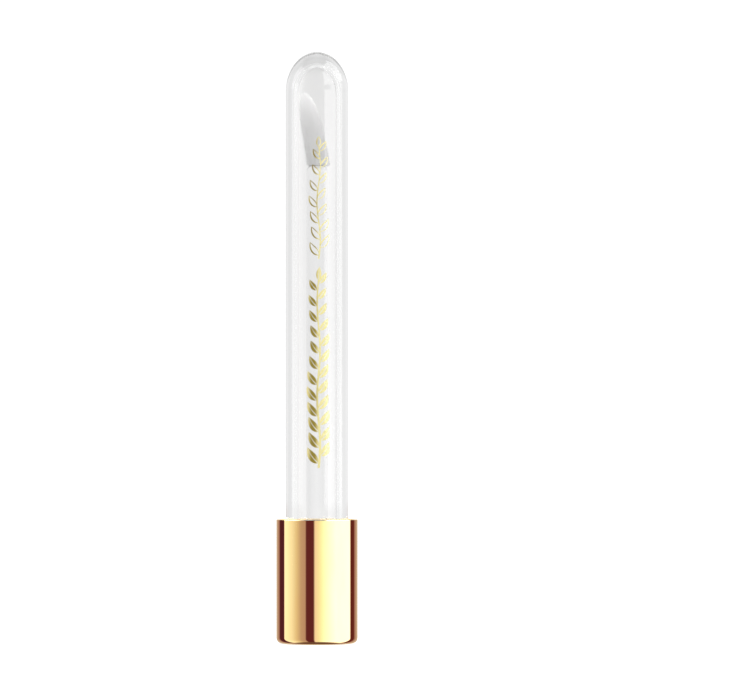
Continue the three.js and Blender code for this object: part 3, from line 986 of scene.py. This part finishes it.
    low_set = mix(climb(-58, -50), underside, warm_set)
    mirrored = mix(climb(-1.5, -1.35), low_set, neutral_set)
    mirrored = mix(climb(5, 6), mirrored, struck_set)
    mirrored = mix(climb(15, 17), mirrored, dome_set)
    mirrored = mix(climb(46, 49), mirrored, crown_set)
    mirrored = mix(climb(62, 66), mirrored, overhead)
    backdrop = mix(climb(-1.5, 1.5), low_backdrop, high_backdrop)
    backdrop = mix(climb(1.4, 2.4), backdrop, top_backdrop)
    path = node(tree, "ShaderNodeLightPath")
    low_dim = (0.24,) * 3
    left_dim = (0.15,) * 3
    right_dim = (0.55,) * 3
    below = math_node("SUBTRACT", 1.0, climb(-20, -8))
    straight = around((-180, low_dim), (-165, low_dim), (-150, black), (150, black), (165, low_dim),
                      (180, low_dim))
    through = mix(math_node("MULTIPLY", below, straight), backdrop, black)
    through = mix(math_node("MULTIPLY", climb(8, 20), 0.14), through, black)
    sides = around((-124, black), (-121, left_dim), (-84, left_dim), (-80, black),
                   (80, black), (84, right_dim), (121, right_dim), (124, black))
    single = math_node("LESS_THAN", path.outputs["Transmission Depth"], 2.5)
    through = mix(math_node("MULTIPLY", sides, single), through, black)

    passed = path.outputs["Is Transmission Ray"]
    bounced = math_node("MULTIPLY", path.outputs["Is Glossy Ray"], math_node("SUBTRACT", 1.0, passed))
    from_matt = math_node("MINIMUM", path.outputs["Diffuse Depth"], 1.0)
    matt_light = level(1.4)
    unsorted_light = level(0.95)
    camera_backdrop = level(1.1)
    sky = mix(from_matt, through, matt_light)
    sky = mix(passed, unsorted_light, sky)
    sky = mix(bounced, sky, mirrored)
    sky = mix(path.outputs["Is Camera Ray"], sky, camera_backdrop)
    light = node(tree, "ShaderNodeBackground", Strength=background_strength)
    link(sky, light.inputs["Color"])
    out = node(tree, "ShaderNodeOutputWorld")
    link(light.outputs["Background"], out.inputs["Surface"])


def area_light(name, place, target, size, power):
    """A lamp that only matt surfaces see."""
    data = bpy.data.lights.new(name, "AREA")
    data.shape = "RECTANGLE"
    data.size, data.size_y = size
    data.energy = power
    lamp = bpy.data.objects.new(name, data)
    bpy.context.scene.collection.objects.link(lamp)
    lamp.location = place
    lamp.rotation_euler = (Vector(target) - Vector(place)).to_track_quat("-Z", "Y").to_euler()
    lamp.visible_glossy = False
    lamp.visible_transmission = False
    lamp.visible_camera = False


def make_floor():
    """A pale floor that glows a little, so it stays as light as the backdrop."""
    mesh = bpy.data.meshes.new("floor")
    built = bmesh.new()
    bmesh.ops.create_circle(built, cap_ends=True, segments=96, radius=2.5)
    built.to_mesh(mesh)
    built.free()
    floor = new_object("floor", mesh)
    mat, tree, shader = material("pale_floor", (0.95, 0.95, 0.95))
    _, tint = noise_between(tree, 3, (0.80,) * 3, (0.82,) * 3)
    tree.links.new(tint.outputs["Color"], shader.inputs["Base Color"])
    shader.inputs["Roughness"].default_value = 0.9
    shader.inputs["Specular IOR Level"].default_value = 0
    shader.inputs["Emission Color"].default_value = (1, 1, 1, 1)
    shader.inputs["Emission Strength"].default_value = 0.75
    mesh.materials.append(mat)
    floor.visible_glossy = False
    floor.visible_transmission = False


def make_camera():
    """Level, far off with a long lens, and to the right, so the pack stands left of the middle."""
    frame_width = 156.5 * MM
    distance = 1.3
    data = bpy.data.cameras.new("camera")
    data.sensor_width = 36
    data.lens = data.sensor_width * distance / frame_width
    data.clip_start = 0.05
    data.clip_end = 20
    camera = bpy.data.objects.new("camera", data)
    bpy.context.scene.collection.objects.link(camera)
    camera.location = (12.1 * MM, -distance, 61.3 * MM)
    camera.rotation_euler = (math.radians(90), 0, 0)
    bpy.context.scene.camera = camera


def set_view():
    """Plain colours, and enough bounces for the light to leave the clear pieces."""
    scene = bpy.context.scene
    scene.view_settings.view_transform = "Standard"
    scene.view_settings.look = "None"
    scene.cycles.max_bounces = 64
    scene.cycles.transmission_bounces = 64
    scene.cycles.glossy_bounces = 8


world_light()
make_floor()
make_camera()
set_view()
area_light("key", place=(0.5, -0.6, 0.6), target=(0, 0, 0.06), size=(0.5, 0.6), power=1.2)
area_light("fill", place=(-0.6, -0.4, 0.4), target=(0, 0, 0.06), size=(0.4, 0.6), power=0.4)
